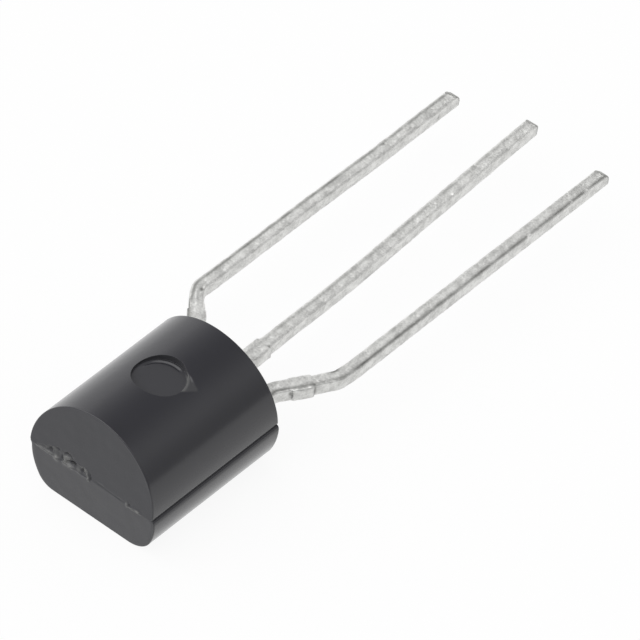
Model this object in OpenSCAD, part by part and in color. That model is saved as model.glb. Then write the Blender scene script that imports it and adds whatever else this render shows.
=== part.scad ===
// Thyristor in a half-round moulded case with three formed leads.
// Units are millimetres. The case lies on its flat, the flat's centre is the origin,
// the leads run along +Y and the rounded side faces up.
// A lead frame is clamped on the mould's parting plane: the anode lead carries the chip on a
// pad, and two bond wires join the chip to the gate lead and the cathode lead.

/* [Moulded case] */
// Width of the case across the parting plane
case_w = 4.5; // [4.3:0.05:4.9]
// Length of the case, from end face to end face at the parting plane
case_l = 5.15; // [4.9:0.05:5.6]
// Height of the parting plane above the flat
parting_h = 1.5; // [1.3:0.05:1.8]
// How far the flat half stands proud of the round half on each side, with the halves in line
mould_step = 0.035; // [0.03:0.005:0.08]
// How far the round half's mould lies to one side of the flat half's
mould_shift = -0.025; // [-0.025:0.005:0.025]
// Radius of the flat half's shoulders, where its sides meet the parting plane
shoulder_r = 0.1; // [0.04:0.01:0.16]
// Radius of the two long corners beside the flat
corner_r = 0.85; // [0.5:0.05:1]
// Lean of the flat half's long sides, in degrees
side_draft = 9.5; // [2:0.5:12]
// Lean of both end faces away from the parting plane, in degrees
end_draft = 4; // [1:0.5:7]

/* [Mould marks] */
// Diameter of the ejector pin's mark on the rounded side
ejector_d = 1.6; // [1:0.1:2]
// Depth of that mark below the crown
ejector_depth = 0.2; // [0.17:0.01:0.3]
// Length of the place on the plain end face where the mould's gate broke off
gate_scar_l = 1.95; // [1.2:0.05:2]
// Height above the parting line of the pocket that the gate tore out
gate_tear_h = 0.34; // [0.2:0.02:0.5]
// Depth of that pocket, measured from the parting line
gate_tear_depth = 0.09; // [0.06:0.01:0.12]
// How far the lip below the pocket stands out of the end face
gate_lip_h = 0.06; // [0.03:0.01:0.1]
// Thickness of that lip
gate_lip_t = 0.1; // [0.06:0.01:0.15]
// Length of the scrap of flash on the other side of the parting line
flash_l = 0.6; // [0.3:0.1:0.8]

/* [Leads] */
// Thickness of the lead frame
lead_t = 0.42; // [0.38:0.01:0.45]
// Height of the leads' upper faces above the parting plane
lead_rise = 0.19; // [0.17:0.01:0.22]
// Width of a lead towards its tip
lead_w = 0.41; // [0.38:0.01:0.45]
// Width of a lead where it leaves the case
root_w = 0.47; // [0.42:0.01:0.5]
// Width across the stubs of the sheared tie bar
stub_w = 0.55; // [0.51:0.01:0.6]
// Distance along a lead from the case to the tie bar's stubs
stub_at = 1.3; // [1.2:0.05:1.35]
// Length of the tie bar's stubs along the lead
stub_l = 0.65; // [0.5:0.05:0.7]
// Spacing of the leads where they leave the case
root_pitch = 1.27; // [1.2:0.01:1.35]
// Spacing of the formed leads
formed_pitch = 2.54; // [2.3:0.02:2.7]
// How far the forming tool left both outer leads to one side
formed_shift = -0.25; // [-0.3:0.05:0.1]
// Distance along Y from the case to the end of the splayed stretch
formed_at = 2.4; // [2.3:0.05:2.7]
// Distance from the case to the anode lead's first bend
anode_bend_at = 0.8; // [0.5:0.05:0.85]
// Distance from the case to the cathode lead's first bend
cathode_bend_at = 0.35; // [0.3:0.05:0.6]
// Radius of the bends, at the middle of the lead
bend_r = 0.5; // [0.4:0.05:0.6]
// Sideways lean of the gate lead past the splayed stretch, in degrees
gate_lean = 1.9; // [0.5:0.1:3]
// Distance along Y from the case to the tip of the anode lead
anode_reach = 13.83; // [8:0.01:14.5]
// Distance along Y from the case to the tip of the gate lead
gate_reach = 13.95; // [8:0.01:14.5]
// Distance along Y from the case to the tip of the cathode lead
cathode_reach = 13.33; // [8:0.01:14.5]
// Length of the upper edge that the shear rolled over at the tips of the outer leads
outer_roll = 0.18; // [0.05:0.01:0.25]
// Length of the same edge at the tip of the gate lead
gate_roll = 0.08; // [0.05:0.01:0.25]

/* [Lead frame inside the case] */
// Width of the pad under the chip
pad_w = 2.7; // [2.4:0.1:2.8]
// Length of the pad under the chip
pad_l = 1.8; // [1.6:0.1:1.9]
// Resin between the end face and the pad
pad_inset = 0.85; // [0.7:0.05:1]
// Resin between the pad and the ends of the two posts
post_gap = 0.35; // [0.3:0.05:0.45]
// Width of the posts that take the bond wires
post_w = 0.76; // [0.7:0.02:0.8]
// Length of the posts
post_l = 0.7; // [0.6:0.05:0.8]
// Depth of the notches that lock a lead in the resin
notch = 0.1; // [0.06:0.01:0.12]

/* [Chip and bond wires] */
// Side of the square chip
chip_w = 1.1; // [0.9:0.05:1.2]
// Thickness of the chip
chip_t = 0.22; // [0.18:0.01:0.3]
// Thickness of the solder under the chip
solder_t = 0.04; // [0.03:0.01:0.06]
// How far the solder spreads past the chip
solder_lip = 0.06; // [0.03:0.01:0.1]
// Diameter of the cathode's bond wire
cathode_wire_d = 0.125; // [0.1:0.005:0.15]
// Diameter of the gate's bond wire
gate_wire_d = 0.075; // [0.06:0.005:0.1]
// Radius of the wire loops relative to half their span
loop_slack = 1.15; // [1.1:0.05:1.4]

/* [Hidden] */

$fn = 96;

RESIN = "#2e2e32";
TIN = "#c6c6c2";
SILICON = "#596070";
SOLDER = "#9b9b98";
WIRE = "#d8d8da";

// Case
half_w = case_w / 2;
half_l = case_l / 2;
round_r = half_w - mould_step;
crown_h = parting_h + round_r;
// Centres of the flat half's shoulder and long corner, whose arcs the leaning side joins, and
// the facets round a shoulder
shoulder_x = half_w - shoulder_r;
corner_x = shoulder_x - (parting_h - shoulder_r - corner_r) * tan(side_draft)
           - (corner_r - shoulder_r) / cos(side_draft);
shoulder_steps = 6;
// The broken gate starts a little inside the round half's left edge
gate_start = mould_shift - round_r + gate_lip_t;
// Its ragged outlines: shares of its length, and of the pocket's height or the lip's thickness
tear_edge = [
    [0, 0], [1, 0], [0.97, 0.5], [0.86, 0.45], [0.76, 0.6], [0.66, 1], [0.53, 0.75],
    [0.43, 0.95], [0.3, 0.5], [0.14, 0.3]
];
lip_edge = [
    [0.04, -0.4], [0.55, -1], [0.95, -1], [1, 0.3], [0.93, 2], [0.87, 0.5], [0.6, 0.2],
    [0.45, 0.7], [0.2, 0.2]
];
// How far the cutting bodies reach past the case
over = 1;

// Lead frame
frame_top = parting_h + lead_rise;
frame_z = frame_top - lead_t;
pad_y = -half_l + pad_inset;
post_y = pad_y + pad_l + post_gap;
neck_y = post_y + post_l;
// Where the locking notches lie, between the posts and the end face
notch_y = (neck_y + half_l) / 2;
// Largest turn between two stations of a bend, in degrees
arc_step = 5;
// Height of a rolled edge relative to its length, and the facets round it
roll_aspect = 1.4;
roll_steps = 8;

// Chip, near the middle of the case and on the middle of the pad's length
chip_x = -0.1;
chip_y = pad_y + pad_l / 2;
solder_top = frame_top + solder_t;
chip_top = solder_top + chip_t;
// Wire ends on the chip, from its centre, as shares of its side
cathode_bond = [-0.2, 0.15];
gate_bond = [0.28, 0.32];
// Flattened feet of a wire: radius and height, as shares of its diameter
foot_r = 0.9;
foot_h = 0.5;

// --- Case ---------------------------------------------------------------

module round_half_profile()
    intersection() {
        translate([mould_shift, parting_h]) circle(round_r);
        translate([-half_w, parting_h]) square([case_w, round_r + over]);
    }

module flat_half_profile() {
    corner_end = [corner_x + corner_r * cos(side_draft), corner_r * (1 - sin(side_draft))];
    shoulder = [for (k = [0:shoulder_steps]) let(a = -side_draft + (90 + side_draft) * k / shoulder_steps)
        [shoulder_x + shoulder_r * cos(a), parting_h - shoulder_r * (1 - sin(a))]];
    right = concat([[corner_x, 0], corner_end], shoulder);
    polygon(concat(right, [for (k = [len(right) - 1:-1:0]) [-right[k].x, right[k].y]]));
    for (side = [-1, 1])
        translate([side * corner_x, corner_r]) circle(corner_r);
}

// A profile of X and Z, swept along Y between two places
module along_y(from, to)
    translate([0, to, 0]) rotate([90, 0, 0]) linear_extrude(to - from) children();

// A profile of Y and Z, swept along X and centred
module across_x(width)
    rotate([90, 0, 90]) linear_extrude(width, center = true) children();

// Side view of the case: both end faces lean in, away from the parting plane
module end_faces() {
    top_in = round_r * tan(end_draft);
    flat_in = parting_h * tan(end_draft);
    polygon([
        [-half_l + flat_in, 0], [half_l - flat_in, 0], [half_l, parting_h],
        [half_l - top_in, crown_h], [-half_l + top_in, crown_h], [-half_l, parting_h]
    ]);
}

// An outline along the broken gate
module scar_outline(points, height)
    polygon([for (p = points) [gate_start + p.x * gate_scar_l, parting_h + p.y * height]]);

// Pocket torn out of the round half where the gate broke off
module gate_tear()
    along_y(-half_l - over, -half_l + gate_tear_depth) scar_outline(tear_edge, gate_tear_h);

// Lip left below the pocket, with its upturned end, and a scrap of flash further along
module gate_lip()
    along_y(-half_l - gate_lip_h, -half_l + gate_tear_depth) {
        scar_outline(lip_edge, gate_lip_t);
        translate([root_pitch, parting_h - gate_lip_t / 2]) polygon([
            [0, 0], [flash_l, 0], [flash_l * 0.8, gate_lip_t], [flash_l * 0.3, gate_lip_t / 2]
        ]);
    }

module case() color(RESIN)
    difference() {
        union() {
            difference() {
                intersection() {
                    along_y(-half_l, half_l) {
                        round_half_profile();
                        flat_half_profile();
                    }
                    across_x(case_w + over) end_faces();
                }
                gate_tear();
            }
            gate_lip();
        }
        translate([0, 0, crown_h - ejector_depth]) cylinder(d = ejector_d, h = ejector_depth + over);
        anode_lead();
        gate_lead();
        cathode_lead();
        chip();
        die_solder();
        gate_wire();
        cathode_wire();
    }

// --- Leads --------------------------------------------------------------

// Headings are in degrees from +Y towards +X
function ahead(heading) = [sin(heading), cos(heading)];
function to_right(heading) = [cos(heading), -sin(heading)];

// The stations of a lead's middle line, each [place, heading, width]. A step is
// [length, turn, width]: the lead runs straight, then bends round an arc of radius bend_r.
function stations(steps, at, heading = 0, i = 0) =
    i == len(steps) ? [] :
    let(
        turn = steps[i][1],
        width = steps[i][2],
        corner = at + steps[i][0] * ahead(heading),
        centre = corner + sign(turn) * bend_r * to_right(heading),
        count = ceil(abs(turn) / arc_step),
        arc = [for (k = [1:1:count]) let(h = heading + turn * k / count)
            [centre - sign(turn) * bend_r * to_right(h), h, width]],
        start = i > 0 && steps[i - 1][2] == width ? [] : [[at, heading, width]],
        end = count > 0 ? arc[count - 1][0] : corner
    )
    concat(start, [[corner, heading, width]], arc, stations(steps, end, heading + turn, i + 1));

// Plan of a lead, with square shoulders where its width changes
module lead_plan(steps, at) {
    line = stations(steps, at);
    last = len(line) - 1;
    polygon(concat(
        [for (s = line) s[0] + s[2] / 2 * to_right(s[1])],
        [for (k = [last:-1:0]) line[k][0] - line[k][2] / 2 * to_right(line[k][1])]
    ));
}

// What a bend takes from the straight stretch on each side of its corner
function bend_in(turn) = bend_r * tan(abs(turn) / 2);

// An outer lead, from a place inside the case to past its tip: splayed sideways, then straight
module splayed_plan(at, bend_at, sideways, reach) {
    splay = atan(sideways / (formed_at - bend_at));
    slope_l = (formed_at - bend_at) / cos(splay);
    cut = bend_in(splay);
    lead_plan([
        [half_l - at.y + bend_at - cut, splay, root_w],
        [stub_at - bend_at - cut, 0, root_w],
        [stub_l, 0, stub_w],
        [slope_l - (stub_at + stub_l - bend_at) - cut, -splay, lead_w],
        [reach + over - formed_at - cut, 0, lead_w]
    ], at);
}

// A straight lead that leans a little past the splayed stretch of its neighbours
module leaning_plan(at, lean, reach) {
    cut = bend_in(lean);
    lead_plan([
        [half_l - at.y + stub_at, 0, root_w],
        [stub_l, 0, stub_w],
        [formed_at - stub_at - stub_l - cut, -lean, lead_w],
        [(reach + over - formed_at) / cos(lean) - cut, 0, lead_w]
    ], at);
}

// The pad under the chip, beside the anode lead
module pad_plan()
    translate([root_pitch + root_w / 2 - pad_w, pad_y]) square([pad_w, pad_l]);

// A post for a bond wire, with chamfered shoulders towards its lead
module post_plan(x) {
    shoulder_y = neck_y + (post_w - root_w) / 2;
    polygon([
        [x - post_w / 2, post_y], [x + post_w / 2, post_y], [x + post_w / 2, neck_y],
        [x + root_w / 2, shoulder_y], [x - root_w / 2, shoulder_y], [x - post_w / 2, neck_y]
    ]);
}

// Two V notches in the edges of a lead, which lock it in the resin
module lock_notches(x)
    for (side = [-1, 1])
        translate([x + side * root_w / 2, notch_y]) rotate(45)
            square(notch * sqrt(2), center = true);

// Side view of a lead, whose tip's upper edge is rolled over by the shear that cut it
module side_view(tip, roll) {
    height = roll * roll_aspect;
    edge = [for (k = [0:roll_steps]) let(a = 90 * k / roll_steps)
        [tip - roll * (1 - cos(a)), frame_top - height * (1 - sin(a))]];
    polygon(concat(
        [[-half_l, frame_top + over], [-half_l, frame_z - over], [tip, frame_z - over]],
        edge,
        [[tip - roll, frame_top + over]]
    ));
}

// A piece stamped from the lead frame: its plan, less the notches of the lead at x, cut off
// at its tip
module stamping(x, reach, roll)
    color(TIN) intersection() {
        translate([0, 0, frame_z]) linear_extrude(lead_t)
            difference() {
                union() children();
                lock_notches(x);
            }
        across_x(2 * (case_w + over)) side_view(half_l + reach, roll);
    }

module anode_lead()
    stamping(root_pitch, anode_reach, outer_roll) {
        pad_plan();
        splayed_plan([root_pitch, pad_y], anode_bend_at,
                     formed_pitch - root_pitch + formed_shift, anode_reach);
    }

module gate_lead()
    stamping(0, gate_reach, gate_roll) {
        post_plan(0);
        leaning_plan([0, post_y], gate_lean, gate_reach);
    }

module cathode_lead()
    stamping(-root_pitch, cathode_reach, outer_roll) {
        post_plan(-root_pitch);
        splayed_plan([-root_pitch, post_y], cathode_bend_at,
                     root_pitch - formed_pitch + formed_shift, cathode_reach);
    }

// --- Chip and wires -----------------------------------------------------

module slab(width, bottom, height)
    translate([chip_x - width / 2, chip_y - width / 2, bottom]) cube([width, width, height]);

module die_solder() color(SOLDER) slab(chip_w + 2 * solder_lip, frame_top, solder_t);

module chip() color(SILICON) slab(chip_w, solder_top, chip_t);

// A round loop of wire from one point down to a lower one, with a flattened foot at each end.
// The loop is an arc of a circle through both points; what dips below their faces is cut off.
module wire_loop(from, to, wire_d) {
    run = norm([to.x - from.x, to.y - from.y]);
    drop = from.z - to.z;
    span = norm([run, drop]);
    loop_r = loop_slack * span / 2;
    tilt = atan(drop / run);
    sink = sqrt(loop_r * loop_r - span * span / 4);
    heading = atan2(to.y - from.y, to.x - from.x);
    half_turn = asin(span / 2 / loop_r) + asin(wire_d / loop_r);
    translate(from) rotate([0, 0, heading])
        difference() {
            union() {
                rotate([0, tilt, 0]) translate([span / 2, 0, -sink])
                    rotate([90, 0, 0]) rotate([0, 0, 90 - half_turn])
                        rotate_extrude(angle = 2 * half_turn) translate([loop_r, 0]) circle(d = wire_d);
                cylinder(r = foot_r * wire_d, h = foot_h * wire_d);
                translate([run, 0, -drop]) cylinder(r = foot_r * wire_d, h = foot_h * wire_d);
            }
            translate([-over, -over, -over]) cube([over + run / 2, 2 * over, over]);
            translate([run / 2, -over, -drop - over]) cube([over + run / 2, 2 * over, over]);
        }
}

// A point on the chip's top face, from its centre, in shares of its side
function on_chip(share) = [chip_x + share.x * chip_w, chip_y + share.y * chip_w, chip_top];

// The middle of a post's top face
function on_post(x) = [x, post_y + post_l / 2, frame_top];

module cathode_wire() color(WIRE) wire_loop(on_chip(cathode_bond), on_post(-root_pitch), cathode_wire_d);

module gate_wire() color(WIRE) wire_loop(on_chip(gate_bond), on_post(0), gate_wire_d);

case();
anode_lead();
gate_lead();
cathode_lead();
chip();
die_solder();
gate_wire();
cathode_wire();
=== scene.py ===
"""The finish of a thyristor in a half-round moulded case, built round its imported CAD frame.

The frame is in metres. The shapes here are worked out in millimetres, in the same axes, and
Skin.make() turns them into Blender's metres: the case lies on its flat, the leads run along
+Y and the rounded side faces up.
"""

import math

import bmesh
import bpy
from mathutils import Matrix, Vector, noise


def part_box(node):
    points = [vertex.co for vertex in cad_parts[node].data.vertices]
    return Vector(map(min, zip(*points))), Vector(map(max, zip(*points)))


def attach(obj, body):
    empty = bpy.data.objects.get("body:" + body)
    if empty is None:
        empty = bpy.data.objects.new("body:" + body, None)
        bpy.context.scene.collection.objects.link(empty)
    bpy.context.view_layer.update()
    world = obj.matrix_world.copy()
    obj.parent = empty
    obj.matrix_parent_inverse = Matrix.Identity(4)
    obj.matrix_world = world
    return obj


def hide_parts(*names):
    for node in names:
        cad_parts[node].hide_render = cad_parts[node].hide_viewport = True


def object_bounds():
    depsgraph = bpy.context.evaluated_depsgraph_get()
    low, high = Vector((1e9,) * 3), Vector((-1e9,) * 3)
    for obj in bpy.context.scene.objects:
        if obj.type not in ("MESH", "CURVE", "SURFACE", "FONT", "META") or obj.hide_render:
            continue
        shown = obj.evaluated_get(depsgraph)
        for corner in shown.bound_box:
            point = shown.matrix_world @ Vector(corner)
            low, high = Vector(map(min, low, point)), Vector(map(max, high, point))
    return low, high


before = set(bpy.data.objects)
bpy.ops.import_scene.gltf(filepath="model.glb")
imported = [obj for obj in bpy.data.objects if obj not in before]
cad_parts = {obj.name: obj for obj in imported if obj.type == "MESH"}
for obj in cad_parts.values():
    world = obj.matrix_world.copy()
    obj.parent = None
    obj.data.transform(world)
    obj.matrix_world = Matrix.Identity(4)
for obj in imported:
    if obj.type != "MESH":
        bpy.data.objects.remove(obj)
cad_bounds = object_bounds()

MM = 0.001  # metres in a millimetre
TINY = 0.001  # millimetres that count as none
WELD = TINY * MM  # points that lie nearer than this are one


def box_mm(node):
    """Lowest and highest corner of a CAD node, in millimetres."""
    low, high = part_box(node)
    return low / MM, high / MM


# --- Sizes, in millimetres and degrees ------------------------------------

CASE_LOW, CASE_HIGH = box_mm("case")
LEAD_LOW, LEAD_HIGH = box_mm("cathode_lead")[0], box_mm("anode_lead")[1]

LEAD_RISE = 0.19  # height of the leads' upper faces above the parting plane

HALF_W = CASE_HIGH.x
HALF_L = CASE_HIGH.y
CROWN = CASE_HIGH.z
LEAD_T = LEAD_HIGH.z - LEAD_LOW.z
LEAD_MID = (LEAD_HIGH.z + LEAD_LOW.z) / 2
PARTING = LEAD_HIGH.z - LEAD_RISE
ROUND_R = CROWN - PARTING
LIP_H = -CASE_LOW.y - HALF_L  # how far the broken gate stands out of the end face

END_DRAFT = 4  # lean of both end faces away from the parting plane
EDGE_R = 0.025  # rounding between an end face and the sides

# The round half lies a little to the left of the flat half, so the two sides differ
RIGHT, LEFT = 1, -1
ROUND_X = -0.025  # place of the round half's middle
ROUND_SWELL = {RIGHT: 0.0, LEFT: 0.015}  # how far its foot stands out of the circle
SWELL_RISE = 1.25  # height above the parting plane at which that has faded
SWELL_FADE = 0.8 * SWELL_RISE  # and the height over which it fades
SEAM_X = {RIGHT: 2.155, LEFT: 2.235}
SEAM_RISE = {RIGHT: 0.09, LEFT: 0.06}  # how far up the round half is drawn in to the seam
SEAM_DIP = {RIGHT: 0.035, LEFT: 0.0}  # how far the seam runs below the parting plane
DIP_FADE = 0.3  # height over which that fades
SHOULDER_DROP = 0.2  # from the parting plane to the widest place of the flat half
WIDEST_X = {RIGHT: HALF_W, LEFT: 2.195}
SHOULDER_BULGE = {RIGHT: 0.8, LEFT: 2.0}  # how quickly the shoulder gets there: slowly above 1
SHOULDER_TILT = 70  # how far up the shoulder faces next to the seam
WALL_LEAN = {RIGHT: 24, LEFT: 29}  # lean of the flat half's bulged wall where its round corner begins
CORNER_TOP = {RIGHT: 0.5, LEFT: 0.3}  # height at which that corner begins

# Finely divided stretches of the case's skin: heights and distances, and numbers of rows
SEAM_ZONE = 0.44  # height above the parting plane below which the round half's rows are finer
ROUND_STEPS = 40  # rows above that height
SEAM_STEPS = 22  # rows below it
SHOULDER_STEPS = 14
WALL_STEPS = 16
CORNER_STEPS = 18
EDGE_STEPS = 5  # points round an edge between an end face and the sides
LENGTH_STEP = 0.06  # spacing of the points along the case
FLAT_STEPS = 180  # columns across the flat and both end faces
RELIEF_FADE = 0.1  # distance from the ends over which the sides' unevenness begins
END_FADE = 0.08  # distance from the sides over which the end faces' unevenness begins

# Unevenness of the moulded faces: height, size and seed of each of its waves
SIDE_WAVES = ((0.002, 1.1, 3), (0.0006, 0.2, 4))
FRONT_WAVES = ((0.003, 0.3, 8),)
REAR_WAVES = ((0.004, 0.4, 9),)
REAR_SLICE = 9  # the place in the noise that the rear end face is taken from
MARK_WAVES = ((0.002, 0.3, 11),)

# Mark of the ejector pin
EJECTOR_AT = Vector((-0.012, 0.012))
EJECTOR_R = 0.775
EJECTOR_DEPTH = 0.215
MARK_FLOOR = CROWN - EJECTOR_DEPTH
WORN = 0.075  # how pale the pin left the mark
# Painted light: the mark's wall, which lies in shade, is painted paler than the pin's wear
WALL_PAINTED_LIGHT = 1.5 * WORN
# Corners of a shallow chip beside it, the first two on its rim
CHIP = (Vector((0.55, 0.63)), Vector((0.83, 0.08)), Vector((1.085, 0.475)))
CHIP_DEPTH = 0.03
CHIP_REACH = 0.26  # distance from the rim at which the chip runs out
CHIP_EDGE = 0.07  # distance over which its edges fall in
CHIP_FAR = 0.4  # nothing is chipped farther than this from the rim
CHIP_RIM = (0.005, 0.045)  # place beyond the wall and half width of the worn rim before it
CHIP_PALE = 0.22
CHIP_PALE_FADE = 0.02  # how far into the mark that reaches
RIM_PALE = 0.55
# The pin's raised ring and the crease inside it: distance from the wall, half width and height
RING = (0.042, 0.02, 0.0055)
CREASE = (0.12, 0.035, -0.016)
# The directions from the mark's middle, in radians, at which they begin and end, and how slowly
RING_FROM = (1.15, 0.25)
RING_TO = (3.2, 0.5)
# Half the side of the square hole that is left in the side for the mark
MARK_HOLE = 1.12
# Rings of points between that hole and the middle of the mark
HOLE_RINGS = 14  # from the hole's edge to a band round the mark
MARK_BAND = 0.1  # width of that band
RIM_RINGS = (0.085, 0.07, 0.06, 0.05, 0.042, 0.034, 0.026, 0.018, 0.01, 0.004, 0.0015)  # in the band
WALL_RINGS = (0.008, 0.025, 0.1, 0.3, 0.6, 0.85, 0.97, 1.0)  # shares of the way down the wall
FLOOR_RINGS = (0.003, *(0.01 * i for i in range(1, 21)), 0.24, 0.3, 0.4, 0.5, 0.6, 0.7)

# Leads
LEAD_EDGE_R = 0.06
END_EDGE_R = 0.035  # rounding round the sheared end
# The shear rolled the upper edge of each tip over: length and height of the rolled edge, the
# height of the foremost place from the middle of the lead, and how far the left corner lies back
TIP_ROLL = {
    "anode_lead": (0.18, 0.25, -0.04, 0.06),
    "gate_lead": (0.10, 0.11, 0.10, 0.0),
    "cathode_lead": (0.18, 0.25, -0.04, 0.06),
}
UNDER_ROLL = 0.04  # how far the lower edge of a tip lies back
ROLL_CORNER = (0.06, 0.13)  # where its left corner begins, left of the middle, and its width
ROLL_REACH = 0.6  # length over which a tip begins to be drawn back
# Handling left each lead a little bent to the side: distance from the case, half length and how far
BOWS = {
    "anode_lead": ((2.55, 0.5, -0.05),),
    "gate_lead": ((1.8, 1.0, -0.025), (3.0, 0.8, -0.018), (5.9, 2.0, 0.045), (13.8, 3.0, -0.042)),
    "cathode_lead": ((1.5, 0.35, 0.03), (2.45, 0.45, -0.065), (10.5, 1.8, 0.024)),
}
STATION = 0.03  # spacing of the rings along a lead
SHOULDER_L = 0.05  # length over which the stamped width changes
STAMPED = 0.005  # least change of width that was stamped
DOWNWARD = -0.9  # a face whose normal has a lower Z than this faces down
LEAD_START = -0.3  # where the rings begin, inside the case
CORNER_POINTS = 6  # points round each corner of a lead's section
SIDE_POINTS = 9  # points between two corners
TIP_STEPS = 4  # rings round the rounding of the sheared end, after the first
TIP_RINGS = (0.8, 0.6, 0.4, 0.2, 0.05)  # and the scale of those that close it
ROOT_CUT = 0.2  # how far inside the case the root's mesh begins
PLATING = ((0.008, 0.22), (0.005, 0.09))  # height and size of the plating's unevenness
BARE = 0.6  # how dull the sheared end is, which the shear left bare
BARE_L = 0.08  # length that is bare
BARE_FADE = 0.05


# --- Small helpers ----------------------------------------------------------

def lerp(a, b, t):
    return a + (b - a) * t


def smooth(t):
    """0 below 0, 1 above 1, and an even slope between."""
    t = min(max(t, 0), 1)
    return t * t * (3 - 2 * t)


def bell(*offsets):
    """1 where every offset is 0, falling off like a bell. An offset is in widths."""
    return math.exp(-sum(offset * offset for offset in offsets))


def grain(x, y, z, size, seed=0):
    """Smooth noise from -1 to 1 whose blobs are about size millimetres across."""
    return noise.noise(Vector((x, y, z)) / size + Vector((seed * 7.3, seed * 3.1, seed * 5.7)))


def uneven(waves, x, y, z):
    """Unevenness made of waves, each a height, a size and a seed."""
    return sum(height * grain(x, y, z, size, seed) for height, size, seed in waves)


class Skin:
    """Points and faces of one piece, in millimetres, with a named value at each point."""

    def __init__(self, attribute):
        self.attribute = attribute
        self.points = []
        self.values = []
        self.faces = []
        self.finishes = []

    def point(self, place, value=0.0):
        """Adds a point and says its number."""
        self.points.append(tuple(place))
        self.values.append(value)
        return len(self.points) - 1

    def face(self, corners, finish=0):
        """Adds a face in one of the piece's finishes, without corners that fall together."""
        corners = [c for i, c in enumerate(corners) if c != corners[i - 1]]
        if len(corners) > 2:
            self.faces.append(corners)
            self.finishes.append(finish)

    def strip(self, first, second, finish=0, closed=False):
        """Quads between two rows of as many points."""
        count = len(first) if closed else len(first) - 1
        for i in range(count):
            j = (i + 1) % len(first)
            self.face([first[i], first[j], second[j], second[i]], finish)

    def make(self, name, materials):
        """The piece itself, in metres, with a material for each finish."""
        mesh = bpy.data.meshes.new(name)
        mesh.from_pydata([Vector(p) * MM for p in self.points], [], self.faces)
        mesh.polygons.foreach_set("material_index", self.finishes)
        mesh.polygons.foreach_set("use_smooth", [True] * len(mesh.polygons))
        values = mesh.attributes.new(self.attribute, "FLOAT", "POINT")
        values.data.foreach_set("value", self.values)
        for material in materials:
            mesh.materials.append(material)
        mesh.validate()
        piece = bpy.data.objects.new(name, mesh)
        bpy.context.scene.collection.objects.link(piece)
        return piece


# --- Materials --------------------------------------------------------------

class Nodes:
    """A material's node tree, written one call a node."""

    def __init__(self, name):
        self.material = bpy.data.materials.new(name)
        self.material.use_nodes = True
        self.tree = self.material.node_tree
        self.shader = self.tree.nodes["Principled BSDF"]
        coordinates = self.tree.nodes.new("ShaderNodeTexCoord")
        in_mm = self.add("ShaderNodeMapping", {"Vector": coordinates.outputs["Object"]})
        in_mm.inputs["Scale"].default_value = (1 / MM,) * 3
        self.place = in_mm.outputs["Vector"]

    def add(self, kind, links=None, **settings):
        """A node with its settings, and its sockets linked or set."""
        node = self.tree.nodes.new(kind)
        for key, value in settings.items():
            setattr(node, key, value)
        for socket, value in (links or {}).items():
            self.set(node, socket, value)
        return node

    def set(self, node, socket, value):
        if isinstance(value, bpy.types.NodeSocket):
            self.tree.links.new(value, node.inputs[socket])
        else:
            node.inputs[socket].default_value = value

    def noise(self, size, detail=3.0, stretch=(1, 1, 1)):
        """Noise whose blobs are about size millimetres across."""
        place = self.add("ShaderNodeMapping", {"Vector": self.place, "Scale": stretch})
        node = self.add("ShaderNodeTexNoise", {"Vector": place.outputs[0], "Scale": 1 / size,
                                               "Detail": detail})
        return node.outputs["Fac"]

    def ramp(self, value, *stops):
        """Colours at places from 0 to 1."""
        node = self.add("ShaderNodeValToRGB", {"Fac": value})
        elements = node.color_ramp.elements
        while len(elements) < len(stops):
            elements.new(0.5)
        for element, (at, colour) in zip(elements, stops):
            element.position = at
            element.color = (*colour, 1)
        return node.outputs["Color"]

    def mix(self, share, first, second):
        node = self.add("ShaderNodeMix", data_type="RGBA")
        self.set(node, 0, share)
        for socket, value in ((6, first), (7, second)):
            self.set(node, socket, value if isinstance(value, bpy.types.NodeSocket) else (*value, 1))
        return node.outputs[2]

    def math(self, operation, first, second=0.0):
        node = self.add("ShaderNodeMath", operation=operation)
        self.set(node, 0, first)
        self.set(node, 1, second)
        return node.outputs[0]

    def vary(self, fac, low, spread):
        """A number that runs from low to low + spread with a noise."""
        return self.math("ADD", self.math("MULTIPLY", fac, spread), low)

    def attribute(self, name):
        return self.add("ShaderNodeAttribute", attribute_name=name).outputs["Fac"]

    def bump(self, height, depth, below=None):
        """Relief of about depth millimetres, on top of another relief if one is given."""
        links = {"Height": height, "Distance": depth * MM, "Strength": 1.0}
        if below is not None:
            links["Normal"] = below
        return self.add("ShaderNodeBump", links).outputs["Normal"]

    def finish(self, **sockets):
        for name, value in sockets.items():
            self.set(self.shader, name.replace("_", " "), value)
        return self.material


def moulded_side():
    """Satin epoxy, as a polished mould leaves it, paler where it is worn, and painted paler on the pin
    mark's wall as painted light.
    """
    n = Nodes("resin_satin")
    cloudy = n.noise(1.3, 4)
    speckle = n.noise(0.06, 2)
    resin = n.mix(cloudy, (0.0248, 0.0248, 0.0310), (0.0312, 0.0310, 0.0388))
    colour = n.mix(n.attribute("torn"), resin, (0.18, 0.18, 0.178))
    return n.finish(Base_Color=colour, Roughness=n.vary(speckle, 0.17, 0.08),
                    Normal=n.bump(speckle, 0.0012), IOR=1.48,
                    Coat_Weight=0.34, Coat_Roughness=0.18, Coat_IOR=1.5)


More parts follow.
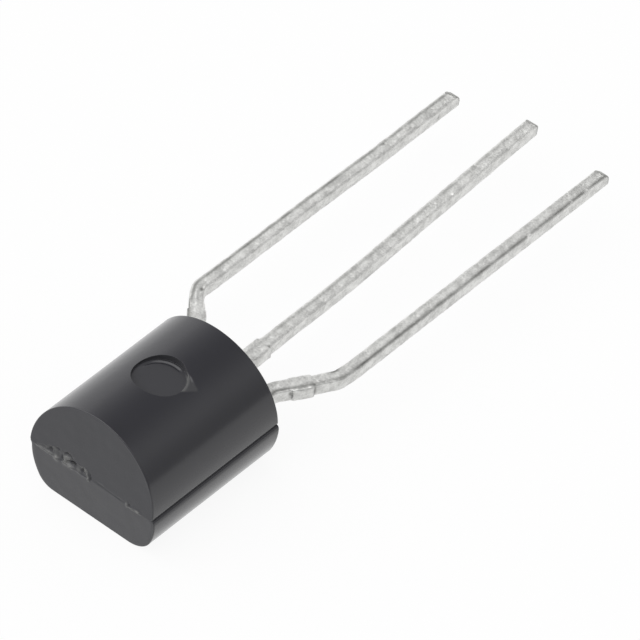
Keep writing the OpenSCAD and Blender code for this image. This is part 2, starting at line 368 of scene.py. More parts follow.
def moulded_end():
    """Matt epoxy on the end faces. Where the gate broke off the grey filler shows, and its pits are
    painted nearly black as painted shade.
    """
    n = Nodes("resin_matt")
    torn = n.attribute("torn")
    cloudy = n.noise(0.9, 4)
    speckle = n.noise(0.05, 3)
    resin = n.mix(cloudy, (0.032, 0.032, 0.039), (0.044, 0.0445, 0.053))
    filler = n.mix(n.noise(0.08, 3), (0.13, 0.13, 0.128), (0.26, 0.26, 0.255))
    colour = n.mix(n.math("MAXIMUM", torn, 0.0), resin, filler)
    # Painted shade: the pits are darkened to nearly black
    pit_shade = n.math("MAXIMUM", n.math("MULTIPLY", torn, -1.0), 0.0)
    colour = n.mix(pit_shade, colour, (0.006, 0.006, 0.007))
    crumbs = n.bump(n.math("MULTIPLY", torn, n.noise(0.07, 4)), 0.025)
    return n.finish(Base_Color=colour, Roughness=n.vary(speckle, 0.26, 0.12),
                    Normal=n.bump(speckle, 0.003, crumbs), IOR=1.55)


def tinned():
    """Matt tin plating with shallow dents, dull where it was rubbed, with painted shade along its
    upper edges, at its shoulders, inside its bends and in its dents.
    """
    n = Nodes("tin")
    blotch = n.noise(0.22, 4, (1, 0.7, 1))
    fine = n.noise(0.065, 3)
    grainy = n.math("ADD", n.math("MULTIPLY", blotch, 0.6), n.math("MULTIPLY", fine, 0.4))
    plating = n.ramp(grainy, (0.39, (0.66, 0.66, 0.642)), (0.61, (0.95, 0.95, 0.927)))
    # The dull colour, for rubbing and for painted shade
    dull_and_shade = n.mix(fine, (0.16, 0.16, 0.152), (0.30, 0.30, 0.288))
    return n.finish(Base_Color=n.mix(n.attribute("dull_and_shade"), plating, dull_and_shade),
                    Roughness=n.vary(fine, 0.28, 0.2),
                    Normal=n.bump(fine, 0.007, n.bump(blotch, 0.024)), Metallic=0.7)


def plain_metal(name, dark, light, roughness):
    """Bare metal with a fine grain."""
    n = Nodes(name)
    fine = n.noise(0.03, 3)
    return n.finish(Base_Color=n.mix(fine, dark, light), Roughness=n.vary(fine, roughness, 0.15),
                    Normal=n.bump(fine, 0.002), Metallic=1.0)


def silicon():
    """The dark, nearly mirror-like chip."""
    n = Nodes("silicon")
    cloudy = n.noise(0.3, 3)
    colour = n.mix(cloudy, (0.06, 0.07, 0.10), (0.10, 0.11, 0.15))
    return n.finish(Base_Color=colour, Roughness=n.vary(cloudy, 0.15, 0.1), Metallic=0.3)


# --- Case -------------------------------------------------------------------

def round_rows(side):
    """One side of the round half, from the crown down to the seam: x, z and the normal."""
    zone_angle = math.degrees(math.asin(SEAM_ZONE / ROUND_R))
    angles = [lerp(90, zone_angle, i / ROUND_STEPS) for i in range(ROUND_STEPS)]
    rises = [SEAM_ZONE * (1 - i / SEAM_STEPS) for i in range(SEAM_STEPS + 1)]
    angles += [math.degrees(math.asin(rise / ROUND_R)) for rise in rises]
    seam_depth = ROUND_R + side * ROUND_X + ROUND_SWELL[side] - SEAM_X[side]
    rows = []
    for angle in map(math.radians, angles):
        rise = ROUND_R * math.sin(angle)
        drawn_in = seam_depth * max(0, 1 - rise / SEAM_RISE[side]) ** 2
        swell = ROUND_SWELL[side] * smooth((SWELL_RISE - rise) / SWELL_FADE)
        x = ROUND_R * math.cos(angle) + side * ROUND_X + swell - drawn_in
        dip = SEAM_DIP[side] * max(0, 1 - rise / DIP_FADE)
        rows.append((x, PARTING + rise - dip, math.cos(angle), math.sin(angle)))
    return rows


def shoulder_rows(side):
    """The flat half's soft shoulder, from the seam out to its widest place."""
    rows = []
    for i in range(1, SHOULDER_STEPS + 1):
        share = i / SHOULDER_STEPS
        angle = math.radians(90 * share)
        x = lerp(SEAM_X[side], WIDEST_X[side], math.sin(angle) ** SHOULDER_BULGE[side])
        z = PARTING - lerp(SHOULDER_DROP, SEAM_DIP[side], math.cos(angle))
        tilt = math.radians(lerp(SHOULDER_TILT, 0, share))
        rows.append((x, z, math.cos(tilt), math.sin(tilt)))
    return rows


def wall_rows(side):
    """The flat half's wall, an arc of a wide radius, and its round corner."""
    top_z = PARTING - SHOULDER_DROP
    last = math.radians(WALL_LEAN[side])
    wall_r = (top_z - CORNER_TOP[side]) / math.sin(last)
    corner_r = CORNER_TOP[side] / (1 - math.sin(last))
    wall_x = WIDEST_X[side] - wall_r
    corner_x = wall_x + (wall_r - corner_r) * math.cos(last)
    arcs = ((wall_x, top_z, wall_r, 0, last, WALL_STEPS),
            (corner_x, corner_r, corner_r, last, math.pi / 2, CORNER_STEPS))
    rows = []
    for centre_x, centre_z, radius, first, end, count in arcs:
        for i in range(1, count + 1):
            angle = lerp(first, end, i / count)
            rows.append((centre_x + radius * math.cos(angle), centre_z - radius * math.sin(angle),
                         math.cos(angle), -math.sin(angle)))
    return rows


def end_y(z):
    """Distance of an end face from the middle of the case, at a height."""
    return HALF_L - abs(z - PARTING) * math.tan(math.radians(END_DRAFT))


def side_line(x, z, out_x, out_z):
    """Points along Y over one place of the profile, from inside one edge's rounding to the other's."""
    line = []
    for i in range(EDGE_STEPS + 1):
        t = math.radians(90 * i / EDGE_STEPS)
        inset = EDGE_R * (1 - math.sin(t))
        height = z - out_z * inset
        line.append((x - out_x * inset, -end_y(height) + EDGE_R * (1 - math.cos(t)), height))
    count = int(2 * (HALF_L - 2 * EDGE_R) / LENGTH_STEP)
    y_far = end_y(z) - EDGE_R
    middle = [(x, lerp(-y_far, y_far, i / count), z) for i in range(1, count)]
    return line + middle + [(px, -py, pz) for px, py, pz in reversed(line)]


def side_relief(x, y, z):
    """Slight unevenness of the moulded sides, inwards only."""
    return -sum(depth * (1 + grain(x, y, z, size, seed)) for depth, size, seed in SIDE_WAVES)


# The broken gate on the plain end face: a ragged pocket in the round half above a lip on the
# flat half. The pocket's upper edge is a list of places along it and heights above the seam.
TEAR_EDGE = (
    (-2.02, 0.02), (-1.85, 0.10), (-1.68, 0.16), (-1.55, 0.24), (-1.45, 0.27), (-1.36, 0.32),
    (-1.25, 0.37), (-1.15, 0.30), (-1.04, 0.32), (-0.95, 0.39), (-0.84, 0.38), (-0.75, 0.30),
    (-0.66, 0.28), (-0.55, 0.22), (-0.42, 0.24), (-0.33, 0.27), (-0.22, 0.25), (-0.12, 0.05),
)
TEAR_RAGS = ((0.02, 0.06, 5),)  # waves of that edge
TEAR_SOFT = 0.035  # height over which it falls in
TEAR_FOOT = (-0.03, 0.04)  # the height at which the pocket begins, and over how much
TEAR_WAVES = ((0.012, 0.1, 6), (0.008, 0.045, 7))  # its roughness
# Pits, which are also painted dark as painted shade, light ridges and the plain flap at the pocket's
# right end, each a place on the face, measured from the middle and from the parting plane, then half
# sizes and a height
PITS = (
    (-1.52, 0.11, 0.05, 0.06, 0.03), (-1.26, 0.28, 0.07, 0.04, 0.025),
    (-1.12, 0.08, 0.035, 0.10, 0.02), (-0.89, 0.30, 0.12, 0.06, 0.05),
    (-0.72, 0.10, 0.08, 0.08, 0.04), (-0.37, 0.09, 0.045, 0.06, 0.03),
    (-0.09, 0.14, 0.022, 0.07, 0.02), (-0.06, 0.02, 0.025, 0.06, 0.025),
    (0.30, 0.05, 0.13, 0.03, 0.007), (0.66, 0.02, 0.14, 0.02, 0.005),
    (0.98, 0.01, 0.13, 0.03, 0.007), (1.36, 0.04, 0.03, 0.04, 0.02),
)
RIDGES = (
    (-1.86, -0.035, 0.13, 0.04, 0.026), (-1.58, -0.03, 0.15, 0.04, 0.026),
    (-1.66, 0.11, 0.08, 0.05, 0.012), (-1.40, 0.22, 0.10, 0.06, 0.018),
    (-1.30, -0.05, 0.075, 0.08, 0.045), (-0.99, 0.06, 0.07, 0.12, 0.04),
    (-0.80, -0.02, 0.11, 0.06, 0.04), (-0.90, 0.18, 0.11, 0.06, 0.03),
    (-0.50, 0.02, 0.08, 0.07, 0.015), (-0.47, 0.20, 0.09, 0.035, 0.018),
    (-0.25, 0.17, 0.06, 0.06, 0.045), (-0.17, 0.08, 0.035, 0.07, 0.045),
    (-0.12, -0.03, 0.03, 0.07, 0.05),
    (1.27, -0.01, 0.035, 0.07, 0.035), (1.45, -0.05, 0.09, 0.035, 0.030),
    (1.64, -0.03, 0.09, 0.04, 0.045),
)
FLAP = ((-0.28, 0.05, 0.13, 0.10, 0.02),)
POCKET_DEPTH = (0.012, 0.035)  # at the pocket's left end and in its right part
POCKET_STEP = (-1.9, 0.7)  # where that change begins, and its length
LEDGE = 0.005  # how far the flat half's end stands out below the seam
LEDGE_FADE = 0.03
LIP_CLEAR = 0.002  # how far the highest ridge stays behind the foremost place of the solid
TEAR_PALE = 0.22  # how much of the filler shows in the pocket
RIDGE_PALE = 1.15  # how much of it shows on a ridge
RIDGE_FULL = 0.04  # height of a ridge that is as pale as that
PIT_SHADE_FULL = 0.03  # depth at which a pit's painted shade is darkest


def bumps(features, x, rise):
    """Height of all of a list's features together at a place."""
    return sum(h * bell((x - fx) / fw, (rise - fz) / fh) for fx, fz, fw, fh, h in features)


def tear_share(x, rise):
    """1 within the torn pocket, 0 away from it."""
    if not TEAR_EDGE[0][0] < x < TEAR_EDGE[-1][0]:
        return 0
    k = next(k for k in range(len(TEAR_EDGE) - 1) if TEAR_EDGE[k + 1][0] > x)
    (x0, h0), (x1, h1) = TEAR_EDGE[k], TEAR_EDGE[k + 1]
    edge = lerp(h0, h1, (x - x0) / (x1 - x0)) + uneven(TEAR_RAGS, x, 0, rise)
    start, height = TEAR_FOOT
    return smooth((rise - start) / height) * smooth((edge - rise) / TEAR_SOFT)


def front_relief(x, z):
    """How far the plain end face stands out at a place, and how torn it is there: above 0 where
    the pale filler shows, below 0 where a pit is painted dark as painted shade."""
    rise = z - PARTING
    share = tear_share(x, rise)
    pits = bumps(PITS, x, rise)
    ridges = bumps(RIDGES, x, rise)
    start, length = POCKET_STEP
    depth = lerp(*POCKET_DEPTH, smooth((x - start) / length))
    rough = uneven(TEAR_WAVES, x, 0, z) - depth
    out = share * rough + ridges + bumps(FLAP, x, rise) - pits
    ledge = LEDGE * smooth(-rise / LEDGE_FADE)
    fine = uneven(FRONT_WAVES, x, 0, z) * (1 - share)
    # Painted shade: a pit lowers this value, to -1 where it is deepest
    torn = TEAR_PALE * share + RIDGE_PALE * min(1, ridges / RIDGE_FULL) - min(1, pits / PIT_SHADE_FULL)
    return min(out + ledge, LIP_H - LIP_CLEAR) + fine, torn


def rear_relief(x, z):
    """The same for the other end face, which is even and whole."""
    return uneven(REAR_WAVES, x, REAR_SLICE, z), 0


def round_surface(x, y):
    """The place on the uneven round side above a place in the plan."""
    across = (x - ROUND_X) / ROUND_R
    rise = math.sqrt(1 - across * across)
    z = PARTING + rise * ROUND_R
    relief = side_relief(x, y, z)
    return Vector((x + across * relief, y, z + rise * relief))


def end_grid(skin, rows, edge_left, edge_right, bottom, way, relief):
    """The grid of an end face, between the rounded edges of its rows."""
    columns = len(bottom) - 1
    previous = None
    for k in range(rows):
        left, right = edge_left[k], edge_right[k]
        if k == rows - 1:
            line = bottom
        else:
            (x0, _, z0), (x1, _, z1) = skin.points[left], skin.points[right]
            inner = []
            for m in range(1, columns):
                x, z = lerp(x0, x1, m / columns), lerp(z0, z1, m / columns)
                fade = smooth(min(x - x0, x1 - x) / END_FADE)
                out, torn = relief(x, z)
                y = way * (end_y(z) + out * fade)
                inner.append(skin.point((x, y, z), torn * fade))
            line = [left] + inner + [right] if left != right else [left] * (columns + 1)
        if previous:
            skin.strip(*((line, previous) if way < 0 else (previous, line)), finish=1)
        previous = line


def chip_beside_mark(place):
    """Depth of the three-cornered chip at a place in the plan, and how pale it is there."""
    beyond = (place - EJECTOR_AT).length - EJECTOR_R
    if beyond > CHIP_FAR or min(place) < 0:
        return 0, 0
    back, front, tip = CHIP
    inside = min((b - a).normalized().cross(place - a) for a, b in ((front, tip), (tip, back)))
    share = smooth(inside / CHIP_EDGE)
    rim_at, rim_half = CHIP_RIM
    rim = bell((beyond - rim_at) / rim_half)
    depth = CHIP_DEPTH * share * (1 - rim) * max(0, 1 - beyond / CHIP_REACH)
    return depth, share * (CHIP_PALE * smooth(1 + beyond / CHIP_PALE_FADE) + RIM_PALE * rim)


def beside_mark(flat, share=1.0):
    """A place on the round side and how worn it is there, with the chip beside the mark."""
    place = round_surface(flat.x, flat.y)
    depth, pale = chip_beside_mark(flat)
    place.z -= depth * share
    return place, pale * share


def mark_floor(flat, inset, way):
    """A place on the pin's mark, which has a fine raised ring just inside the wall at the back."""
    turn = math.atan2(way.y, way.x)
    (first, begin), (last, end) = RING_FROM, RING_TO
    clear = smooth((turn - first) / begin) * smooth((last - turn) / end)
    raised = sum(height * bell((inset - at) / half) for at, half, height in (RING, CREASE))
    z = MARK_FLOOR + raised * clear + uneven(MARK_WAVES, flat.x, flat.y, 0)
    return (flat.x, flat.y, z), max(WORN, chip_beside_mark(flat)[1])


def ejector_patch(skin, loop):
    """Fills a hole in the round side, whose edge is loop, round the ejector pin's mark."""
    edge = [Vector(skin.points[i]).to_2d() for i in loop]
    ways = [(place - EJECTOR_AT).normalized() for place in edge]
    rings = [loop]

    def add_ring(places):
        rings.append([skin.point(*place) for place in places])

    def circle(radius):
        return [EJECTOR_AT + way * radius for way in ways]

    for i in range(1, HOLE_RINGS + 1):
        share = i / HOLE_RINGS
        add_ring(beside_mark(place.lerp(target, share), smooth(2 * share))
                 for place, target in zip(edge, circle(EJECTOR_R + MARK_BAND)))
    for beyond in RIM_RINGS:
        add_ring(beside_mark(flat) for flat in circle(EJECTOR_R + beyond))
    rim = [beside_mark(flat) for flat in circle(EJECTOR_R)]
    # The wall is painted paler, as painted light where it lies in shade
    for share in WALL_RINGS:
        add_ring(((place.x, place.y, lerp(place.z, MARK_FLOOR, share)), max(mark_tone, WALL_PAINTED_LIGHT))
                 for place, mark_tone in rim)
    for inset in FLOOR_RINGS:
        add_ring(mark_floor(flat, inset, way)
                 for flat, way in zip(circle(EJECTOR_R - inset), ways))

    for first, second in zip(rings, rings[1:]):
        skin.strip(first, second, closed=True)
    centre = skin.point((*EJECTOR_AT, MARK_FLOOR), WORN)
    last = rings[-1]
    for i in range(len(last)):
        skin.face([last[i], last[(i + 1) % len(last)], centre])


def case_profile():
    """The case's outline across its length: up the left side from the flat, over the crown, down
    the right side and back along the flat. Also the number of its rows on one side."""
    right, left = (round_rows(side) + shoulder_rows(side) + wall_rows(side)
                   for side in (RIGHT, LEFT))
    profile = [(-x, z, -nx, nz) for x, z, nx, nz in reversed(left[1:])]
    profile += right
    flat = right[-1][0], -left[-1][0]
    profile += [(lerp(*flat, m / FLAT_STEPS), 0, 0, -1) for m in range(1, FLAT_STEPS)]
    return profile, len(right)


def side_lines(skin, profile):
    """The uneven sides: a line of points along the case for each place of the profile."""
    lines = []
    for x, z, nx, nz in profile:
        line = []
        for px, py, pz in side_line(x, z, nx, nz):
            shift = side_relief(px, py, pz) * smooth((end_y(pz) - abs(py)) / RELIEF_FADE)
            if z < TINY:
                shift = 0
            line.append(skin.point((px + nx * shift, py, pz + nz * shift)))
        lines.append(line)
    return lines


def side_faces(skin, lines, hole):
    """Faces between the lines, apart from a hole: its first and last line and place along them."""
    i0, i1, j0, j1 = hole
    for i, first in enumerate(lines):
        second = lines[(i + 1) % len(lines)]
        for j in range(len(first) - 1):
            if not (i0 <= i < i1 and j0 <= j < j1):
                skin.face([first[j], second[j], second[j + 1], first[j + 1]])


def hole_edge(lines, hole):
    """The points round the hole, in turn."""
    i0, i1, j0, j1 = hole
    edge = [lines[i][j0] for i in range(i0, i1)] + [lines[i1][j] for j in range(j0, j1)]
    return edge + [lines[i][j1] for i in range(i1, i0, -1)] + [lines[i0][j] for j in range(j1, j0, -1)]


def case_shell():
    """The moulded case as one closed skin: sides swept along Y, two end grids and the mark."""
    skin = Skin("torn")
    profile, rows = case_profile()
    crown = rows - 1
    lines = side_lines(skin, profile)
    stations = len(lines[0])
    near = [i for i, (x, z, _, _) in enumerate(profile) if abs(x) < MARK_HOLE and z > PARTING]
    along = [j for j in range(stations) if abs(skin.points[lines[crown][j]][1]) < MARK_HOLE]
    hole = near[0], near[-1], along[0], along[-1]
    side_faces(skin, lines, hole)
    ejector_patch(skin, hole_edge(lines, hole))

    for j, way, relief in ((0, -1, front_relief), (stations - 1, 1, rear_relief)):
        edge = [line[j] for line in lines]
        left = [edge[crown - k] for k in range(rows)]
        right = [edge[crown + k] for k in range(rows)]
        bottom = [left[-1]] + [edge[-m] for m in range(1, FLAT_STEPS)] + [right[-1]]
        end_grid(skin, rows, left, right, bottom, way, relief)
    return skin.make("case_shell", [moulded_side(), moulded_end()])


# --- Leads ------------------------------------------------------------------

def plan_pairs(node):
    """The stations of a lead outside the case, from its root to its tip, read from the lower
    face of its CAD solid: the middle and the width at each pair of opposite corners."""
    mesh = bmesh.new()
    mesh.from_mesh(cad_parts[node].data)
    bmesh.ops.remove_doubles(mesh, verts=mesh.verts, dist=WELD)
    low = (LEAD_LOW.z + 10 * TINY) * MM
    lower = [f for f in mesh.faces
             if f.normal.z < DOWNWARD and f.calc_center_median().z < low]
    inside = set(lower)
    links = {}
    for face in lower:
        for loop in face.loops:
            if not all(f in inside for f in loop.edge.link_faces):
                links[loop.vert] = loop.link_loop_next.vert
    start = max(links, key=lambda v: (round(v.co.y / MM, 3), v.co.x))
    ring = [start]
    while links[ring[-1]] is not start:
        ring.append(links[ring[-1]])
    places = [Vector((v.co.x, v.co.y)) / MM for v in ring]
    mesh.free()
    pairs = []
    for right, left in zip(places, reversed(places)):
        middle = (left + right) / 2
        pairs.append((middle, (left - right).length))
        if middle.y < HALF_L:
            break
    return list(reversed(pairs))


def lead_line(pairs):
    """Functions of the distance along a lead from the case: its middle and its width."""
    lengths = [0.0]
    for (a, _), (b, _) in zip(pairs, pairs[1:]):
        lengths.append(lengths[-1] + (b - a).length)
    before = next(k for k in range(len(pairs)) if pairs[k + 1][0].y > HALF_L)
    a, b = pairs[before][0], pairs[before + 1][0]
    root = lerp(lengths[before], lengths[before + 1], (HALF_L - a.y) / (b.y - a.y))
    stations = [length - root for length in lengths]

    def middle(s):
        k = next((k for k in range(len(stations) - 2) if stations[k + 1] > s), len(stations) - 2)
        span = stations[k + 1] - stations[k]
        return pairs[k][0].lerp(pairs[k + 1][0], (s - stations[k]) / span)

    def width(s):
        result = pairs[0][1]
        for k in range(len(pairs) - 1):
            change = pairs[k + 1][1] - pairs[k][1]
            if abs(change) > STAMPED:
                result += change * smooth((s - stations[k]) / SHOULDER_L + 0.5)
        return result

    return middle, width, stations[-1]


def section(width, height):
    """A rounded rectangle from its top left corner round to the right: place, then normal."""
    corners = ((-1, 1, 180), (1, 1, 90), (1, -1, 0), (-1, -1, -90))
    half_w, half_h = width / 2 - LEAD_EDGE_R, height / 2 - LEAD_EDGE_R
    points = []
    for index, (sx, sz, first) in enumerate(corners):
        for i in range(CORNER_POINTS):
            angle = math.radians(first - 90 * i / (CORNER_POINTS - 1))
            normal = (math.cos(angle), math.sin(angle))
            points.append((sx * half_w + LEAD_EDGE_R * normal[0],
                           sz * half_h + LEAD_EDGE_R * normal[1], normal))
        x0, z0, normal = points[-1]
        nx, nz, _ = corners[(index + 1) % len(corners)]
        x1 = nx * half_w + LEAD_EDGE_R * normal[0]
        z1 = nz * half_h + LEAD_EDGE_R * normal[1]
        for i in range(1, SIDE_POINTS + 1):
            share = i / (SIDE_POINTS + 1)
            points.append((lerp(x0, x1, share), lerp(z0, z1, share), normal))
    return points


# Marks on each lead: distance from the case, place across and up, half length and half width,
# depth, and how dull the plating is painted there, which is dirt and painted shade at the shoulders
# and painted shade in the dents and inside the bends, below 0 where it is clean of rubbing
MARKS = {
    "anode_lead": (
        (1.25, 0.24, 0.05, 0.05, 0.1, 0.03, 0.8),
        (1.95, 0.25, 0.0, 0.045, 0.2, 0.03, 1.0),
        # Painted shade inside the bend, without any depth
        (2.72, -0.17, 0.205, 0.2, 0.05, 0.0, 1.3),
        (2.10, 0.07, 0.21, 0.04, 0.04, -0.015, 0),
        (5.75, 0.13, 0.19, 0.06, 0.04, -0.02, 0),
        (10.6, 0.17, 0.19, 0.06, 0.05, 0.025, -1),
        (12.45, 0.17, 0.19, 0.05, 0.04, 0.015, -0.7),
        (13.1, 0.16, 0.19, 0.06, 0.05, 0.02, -1),
    ),
    "gate_lead": (
        (1.93, 0.20, 0.18, 0.05, 0.07, 0.03, 0.9),
        (1.70, 0.22, -0.21, 0.2, 0.05, 0.01, 0.6),
        (1.90, -0.2, 0.2, 0.05, 0.04, 0.01, 0.5),
        (10.1, 0.16, 0.2, 0.05, 0.04, -0.02, 0),
        (12.40, 0.06, 0.21, 0.07, 0.05, -0.02, 0),
        (12.55, 0.16, 0.19, 0.05, 0.03, 0.02, 0.7),
        (6.10, 0.2, -0.15, 0.2, 0.04, 0.01, 0.4),
        (7.20, 0.2, -0.15, 0.1, 0.04, 0.01, 0.4),
    ),
    "cathode_lead": (
        # A dent painted dark as its shade
        (2.70, 0.12, 0.205, 0.09, 0.045, 0.03, 1.3),
        (2.2, 0.25, -0.04, 0.10, 0.17, -0.055, 0),
        (1.6, -0.21, 0.12, 0.9, 0.10, 0, 0.8),
        (1.6, -0.21, -0.08, 0.9, 0.12, 0, 0.7),
        (1.7, -0.25, 0, 0.3, 0.2, 0.025, 0),
        (2.45, 0.0, 0.21, 0.35, 0.03, -0.015, 0),
        (10.73, -0.04, 0.21, 0.05, 0.04, 0.01, 0.4),
        (11.8, 0.05, 0.21, 0.04, 0.04, 0.01, 0.35),
        (12.55, -0.02, 0.21, 0.05, 0.04, 0.01, 0.4),
        (12.87, 0.2, -0.05, 0.05, 0.05, 0.02, 0.5),
    ),
}
# The lines along each lead's upper edges that are painted dull, partly where the forming tool rubbed
# and partly as
# painted shade: place across, half width and how dull they are
RUBBED_AND_SHADED = {
    "anode_lead": ((0.15, 0.06, 0.85), (-0.10, 0.05, 0.15)),
    "gate_lead": ((-0.085, 0.05, 0.4),),
    "cathode_lead": ((-0.10, 0.045, 0.75), (0.2, 0.04, 0.1)),
}
# How far those lines lie out towards the sides near the case, and the distance from the case
# at which they no longer do, with the length over which that fades
RUB_SHADE_DRIFT = {"anode_lead": 0.0, "gate_lead": 0.0, "cathode_lead": 0.14}
DRIFT_END = 2.5
DRIFT_FADE = 0.5
# How strong the lines are all along, and how much they vary: height, size and seed
RUB_SHADE_SHARE = 0.85
RUB_SHADE_WAVES = ((0.5, 0.45, 12),)


def marks(node, s, across, up):
    """How strong each mark of a lead is at a place, with its depth and its painted dullness and shade.
    """
    for at, a, b, half_l, half_w, depth, dull_and_shade in MARKS[node]:
        yield bell((s - at) / half_l, (across - a) / half_w, (up - b) / half_w), depth, dull_and_shade


def dull_and_shade_at(node, s, across, up):
    """How dull a place on a lead is painted: along its rubbed lines and in its marks, both partly
    painted shade.
    """
    drift = RUB_SHADE_DRIFT[node] * smooth((DRIFT_END - s) / DRIFT_FADE)
    girth = abs(across) + LEAD_T / 2 - up - drift
    patchy = RUB_SHADE_SHARE + uneven(RUB_SHADE_WAVES, s, across, 0)
    # The dark lines along the edges: rubbing and painted shade
    lines = sum(strength * bell((girth - abs(place)) / half) * (across * place > 0)
                for place, half, strength in RUBBED_AND_SHADED[node])
    mark_tone = sum(dull_and_shade * strength for strength, _, dull_and_shade in marks(node, s, across, up))
    return min(1, max(0, lines * patchy + mark_tone))


def lead_relief(node, s, across, up):
    """Shallow unevenness of the plating and the marks of handling."""
    out = sum(height * grain(s, across, up, size, len(node) + index)
              for index, (height, size) in enumerate(PLATING))
    for strength, depth, _ in marks(node, s, across, up):
        out -= depth * strength
    return out


def roll_back(node, across, up):
    """How far a lead's sheared end lies behind its foremost place, at a place on the lead."""
    length, height, nose, corner = TIP_ROLL[node]
    above = min(1, max(0, (up - nose) / height))
    below = min(1, max(0, nose - up) / (nose + LEAD_T / 2))
    left = smooth((-across - ROLL_CORNER[0]) / ROLL_CORNER[1])
    upper = length * (1 - math.sqrt(1 - above ** 2))
    return upper + UNDER_ROLL * below ** 2 + corner * above * left


def bow(node, s):
    """How far a lead lies to the side of its straight course, at a distance from the case."""
    return sum(aside * bell((s - at) / half) for at, half, aside in BOWS[node])


def lead_stations(length):
    """The rings of a lead: distance from the case, scale, and how far a ring is drawn in and
    back where the edge of the sheared end is rounded."""
    count = int((length - LEAD_START) / STATION)
    stations = [(lerp(LEAD_START, length, i / count), 1.0, 0, 0) for i in range(count)]
    for i in range(TIP_STEPS + 1):
        turn = math.radians(90 * i / TIP_STEPS)
        inset, back = END_EDGE_R * (1 - math.cos(turn)), END_EDGE_R * (1 - math.sin(turn))
        stations.append((length, 1.0, inset, back))
    return stations + [(length, scale, END_EDGE_R, 0) for scale in TIP_RINGS]


def lead_skin(node, name, material):
    """A lead: rings of a rounded section along its middle line, joined to its stamped root."""
    skin = Skin("dull_and_shade")
    middle, width, length = lead_line(plan_pairs(node))
    high = box_mm(node)[1]

    def placed(s, scale, inset, back, a, b, normal):
        out = lead_relief(node, s, a, b) - inset
        across, up = (a + normal[0] * out) * scale, (b + normal[1] * out) * scale
        near_tip = smooth((s - length + ROLL_REACH) / ROLL_REACH)
        reach = s - back - roll_back(node, across, up) * near_tip
        centre = middle(reach)
        ahead = (middle(min(reach + STATION, length)) - middle(reach - STATION)).normalized()
        x = centre.x + ahead.y * across + bow(node, s)
        x = min(max(x, LEAD_LOW.x), LEAD_HIGH.x)
        y = min(centre.y - ahead.x * across, high.y)
        return x, y, LEAD_MID + up

    rings = []
    for s, scale, inset, back in lead_stations(length):
        bare = BARE * smooth((s - back - length + BARE_L) / BARE_FADE)
        ring = []
        for a, b, normal in section(width(s), LEAD_T):
            place = placed(s, scale, inset, back, a, b, normal)
            ring.append(skin.point(place, max(bare, dull_and_shade_at(node, s, a, b))))
        rings.append(ring)
    for first, second in zip(rings, rings[1:]):
        skin.strip(first, second, closed=True)
    skin.face(list(reversed(rings[0])))
    skin.face(rings[-1])
    piece = skin.make(name, [material])
    add_root(piece, node)
    return piece


def add_root(piece, node):
    """Adds the part of the CAD lead that lies in the resin to the piece's mesh."""
    root = bmesh.new()
    root.from_mesh(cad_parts[node].data)
    bmesh.ops.remove_doubles(root, verts=root.verts, dist=WELD)
    cut = bmesh.ops.bisect_plane(root, geom=root.verts[:] + root.edges[:] + root.faces[:],
                                 plane_co=(0, (HALF_L - ROOT_CUT) * MM, 0), plane_no=(0, 1, 0),
                                 clear_outer=True)
    edges = [e for e in cut["geom_cut"] if isinstance(e, bmesh.types.BMEdge)]
    bmesh.ops.contextual_create(root, geom=edges)
    part = bpy.data.meshes.new(node + "_root")
    root.to_mesh(part)
    root.free()
    both = bmesh.new()
    both.from_mesh(piece.data)
    both.from_mesh(part)
    both.to_mesh(piece.data)
    both.free()
    bpy.data.meshes.remove(part)


# --- Floor, light and camera ------------------------------------------------

FLOOR_HALF = 3.0  # half the floor's side, in metres
FLOOR_DROP = 0.01  # how far it lies below the flat
FLOOR_PAINT = 0.09
FLOOR_GLOW = 0.916


def add_floor():
    """A pale floor that shows white to the camera and in reflections, and keeps the shadow."""
    mesh = bpy.data.meshes.new("floor")
    corners = [(x * FLOOR_HALF, y * FLOOR_HALF) for x, y in ((-1, -1), (1, -1), (1, 1), (-1, 1))]
    mesh.from_pydata([(x, y, -FLOOR_DROP * MM) for x, y in corners], [], [(0, 1, 2, 3)])
    floor = bpy.data.objects.new("floor", mesh)
    bpy.context.scene.collection.objects.link(floor)
    material = bpy.data.materials.new("pale_floor")
    material.use_nodes = True
    tree = material.node_tree
    tree.nodes.clear()
    paint = tree.nodes.new("ShaderNodeBsdfDiffuse")
    paint.inputs["Color"].default_value = (FLOOR_PAINT, FLOOR_PAINT, FLOOR_PAINT, 1)
    glow = tree.nodes.new("ShaderNodeEmission")
    both = tree.nodes.new("ShaderNodeAddShader")
    output = tree.nodes.new("ShaderNodeOutputMaterial")
    share = tree.nodes.new("ShaderNodeMath")
    share.operation = "MULTIPLY"
    share.inputs[1].default_value = FLOOR_GLOW
    tree.links.new(seen_directly(tree), share.inputs[0])
    tree.links.new(share.outputs[0], glow.inputs["Strength"])
    tree.links.new(paint.outputs[0], both.inputs[0])
    tree.links.new(glow.outputs[0], both.inputs[1])
    tree.links.new(both.outputs[0], output.inputs["Surface"])
    mesh.materials.append(material)


def seen_directly(tree):
    """1 for a camera ray, and for a glossy or a transmitted one."""
    path = tree.nodes.new("ShaderNodeLightPath")
    value = path.outputs["Is Camera Ray"]
    for name in ("Is Glossy Ray", "Is Transmission Ray"):
        node = tree.nodes.new("ShaderNodeMath")
        node.operation = "MAXIMUM"
        tree.links.new(value, node.inputs[0])
        tree.links.new(path.outputs[name], node.inputs[1])
        value = node.outputs[0]
    return value


# The room that the surfaces mirror: white low down, dimmer on the right, darkest up behind
ROOM_LEFT = 1.15
ROOM_RIGHT = 0.38
ROOM_TURN = (0.5, 0.95)  # shares of the way to the right between which it grows dim
ROOM_DARK = Vector((-0.06, 0.57, 0.82))  # the way to its darkest place
DARK_TURN = (0.70, 0.99)  # cosines of the angles from it at which it begins and is darkest
DARKEST = 0.33
SKY_FILL = 0.6  # what the room gives to matt surfaces


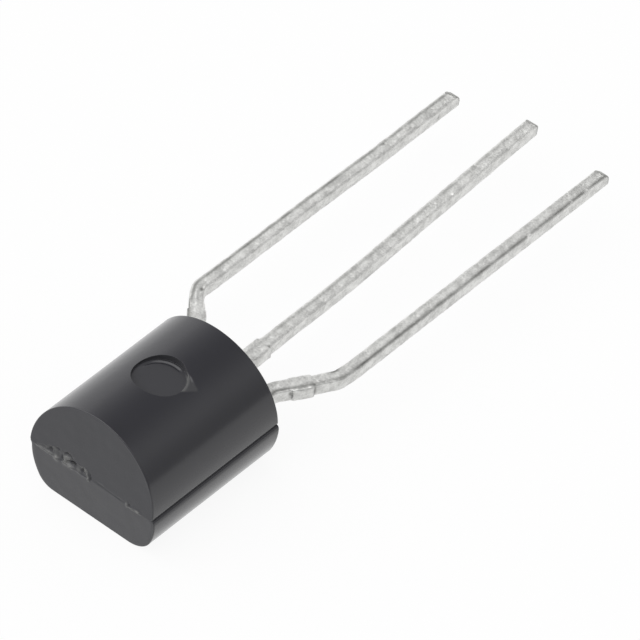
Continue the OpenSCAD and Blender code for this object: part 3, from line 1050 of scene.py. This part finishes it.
def add_world():
    """The room, which mirrors show as it is and matt surfaces as an even light."""
    world = bpy.data.worlds.new("studio")
    bpy.context.scene.world = world
    world.use_nodes = True
    tree = world.node_tree
    tree.nodes.clear()

    def add(kind, operation=None, *values):
        node = tree.nodes.new(kind)
        if operation:
            node.operation = operation
        for index, value in enumerate(values):
            if isinstance(value, bpy.types.NodeSocket):
                tree.links.new(value, node.inputs[index])
            else:
                node.inputs[index].default_value = value
        return node

    def ranged(value, turn, at_low, at_high):
        return add("ShaderNodeMapRange", None, value, *turn, at_low, at_high).outputs[0]

    place = tree.nodes.new("ShaderNodeTexCoord").outputs["Generated"]
    split = add("ShaderNodeSeparateXYZ", None, place)
    across = ranged(split.outputs[0], ROOM_TURN, ROOM_LEFT, ROOM_RIGHT)
    dark = add("ShaderNodeVectorMath", "DOT_PRODUCT", place, tuple(ROOM_DARK.normalized()))
    dim = ranged(dark.outputs["Value"], DARK_TURN, 1.0, DARKEST)
    room = add("ShaderNodeMath", "MULTIPLY", across, dim).outputs[0]
    mirrored = seen_directly(tree)
    extra = add("ShaderNodeMath", "SUBTRACT", room, SKY_FILL).outputs[0]
    seen = add("ShaderNodeMath", "MULTIPLY", mirrored, extra).outputs[0]
    strength = add("ShaderNodeMath", "ADD", seen, SKY_FILL).outputs[0]
    background = tree.nodes.new("ShaderNodeBackground")
    tree.links.new(strength, background.inputs["Strength"])
    output = tree.nodes.new("ShaderNodeOutputWorld")
    tree.links.new(background.outputs[0], output.inputs["Surface"])


LAMP_POWER = 1.35
LAMP_WIDTH = 80  # degrees
LAMP_FROM = Vector((-0.35, -0.35, 0.87))


def add_softbox():
    """One wide soft lamp above, to the left and in front."""
    light = bpy.data.lights.new("softbox", "SUN")
    light.energy = LAMP_POWER
    light.angle = math.radians(LAMP_WIDTH)
    lamp = bpy.data.objects.new("softbox", light)
    lamp.rotation_mode = "QUATERNION"
    lamp.rotation_quaternion = LAMP_FROM.to_track_quat("Z", "Y")
    bpy.context.scene.collection.objects.link(lamp)


VIEW_AZIMUTH = 37.18
VIEW_ELEVATION = 44.60
VIEW_ROLL = 5.23
VIEW_DISTANCE = 233.68  # from the middle of the object
VIEW_ACROSS = 0.0975  # how far the view's middle lies right of the object's
VIEW_UP = -0.835
LENS = 477.1
SENSOR = 36


def add_camera():
    """The camera, in front of the case, to its right and above."""
    a, e, roll = (math.radians(x) for x in (VIEW_AZIMUTH, VIEW_ELEVATION, VIEW_ROLL))
    back = Vector((math.sin(a) * math.cos(e), -math.cos(a) * math.cos(e), math.sin(e)))
    level = Vector((math.cos(a), math.sin(a), 0))
    upright = back.cross(level)
    right = level * math.cos(roll) + upright * math.sin(roll)
    up = back.cross(right)
    data = bpy.data.cameras.new("camera")
    data.lens = LENS
    data.sensor_width = SENSOR
    data.clip_start = 0.01
    data.clip_end = 100
    camera = bpy.data.objects.new("camera", data)
    centre = (cad_bounds[0] + cad_bounds[1]) / 2
    place = centre + (right * VIEW_ACROSS + up * VIEW_UP + back * VIEW_DISTANCE) * MM
    camera.matrix_world = Matrix.Translation(place) @ Matrix((right, up, back)).transposed().to_4x4()
    bpy.context.scene.collection.objects.link(camera)
    bpy.context.scene.camera = camera


# --- The scene --------------------------------------------------------------

def stand_for(piece, node):
    """Puts a piece under the root body and hides the CAD node that it stands for."""
    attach(piece, "root")
    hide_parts(node)


def dress(node, material):
    """A CAD node that keeps its shape gets a better material."""
    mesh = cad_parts[node].data
    mesh.materials.clear()
    mesh.materials.append(material)


bpy.context.scene.view_settings.view_transform = "Standard"

stand_for(case_shell(), "case")
tin = tinned()
for cad_lead in ("anode_lead", "gate_lead", "cathode_lead"):
    stand_for(lead_skin(cad_lead, cad_lead + "_tinned", tin), cad_lead)

dress("chip", silicon())
dress("die_solder", plain_metal("solder", (0.30, 0.30, 0.29), (0.42, 0.42, 0.40), 0.35))
wire = plain_metal("aluminium_wire", (0.70, 0.70, 0.71), (0.82, 0.82, 0.83), 0.2)
dress("gate_wire", wire)
dress("cathode_wire", wire)

add_floor()
add_world()
add_softbox()
add_camera()
